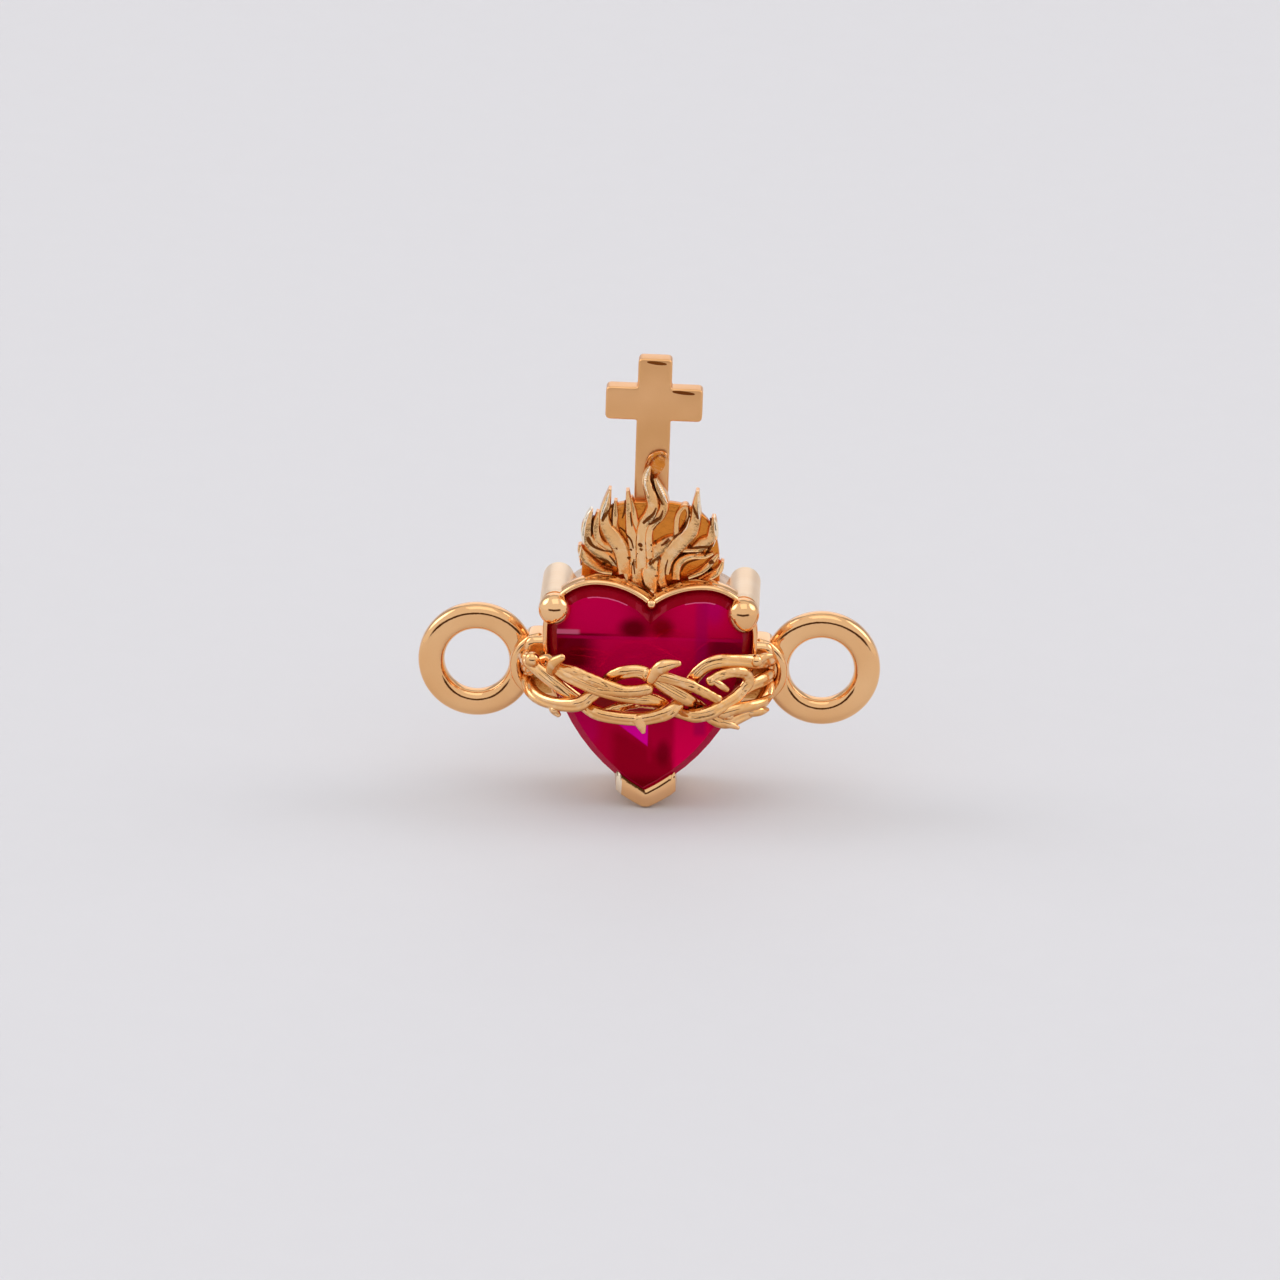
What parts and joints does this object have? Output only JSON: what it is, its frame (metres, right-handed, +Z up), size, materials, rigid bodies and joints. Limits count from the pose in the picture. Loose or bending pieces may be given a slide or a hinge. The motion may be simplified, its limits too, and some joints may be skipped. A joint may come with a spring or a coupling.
{
  "type": "sacred heart connector pendant",
  "caption": "Sacred heart connector pendant: heart-cut red stone in gold prongs, with flames, a Latin cross, a plaited crown of thorns and a chain loop on each side.",
  "frame": {"origin": "middle of the bounding box at its lowest point, which is the bottom of the tip prong", "axes": "+X to the viewer's right when seen from the front, -Y to the front where the stone's table faces, +Z up along the cross"},
  "size_m": [0.0114, 0.0038, 0.0112],
  "materials": {
    "gold": "polished warm gold, with a soft orange peel left by casting",
    "ruby": "polished deep red gemstone with cut facets"
  },
  "bodies": {
    "root": {"heart_stone": "ruby", "gallery": "gold", "prong_left": "gold", "prong_right": "gold", "tip_prong": "gold", "loop_left": "gold", "loop_right": "gold", "flames": "gold", "cross": "gold", "thorn_strand_1": "gold", "thorn_strand_2": "gold", "thorn_strand_3": "gold"}
  },
  "joints": []
}
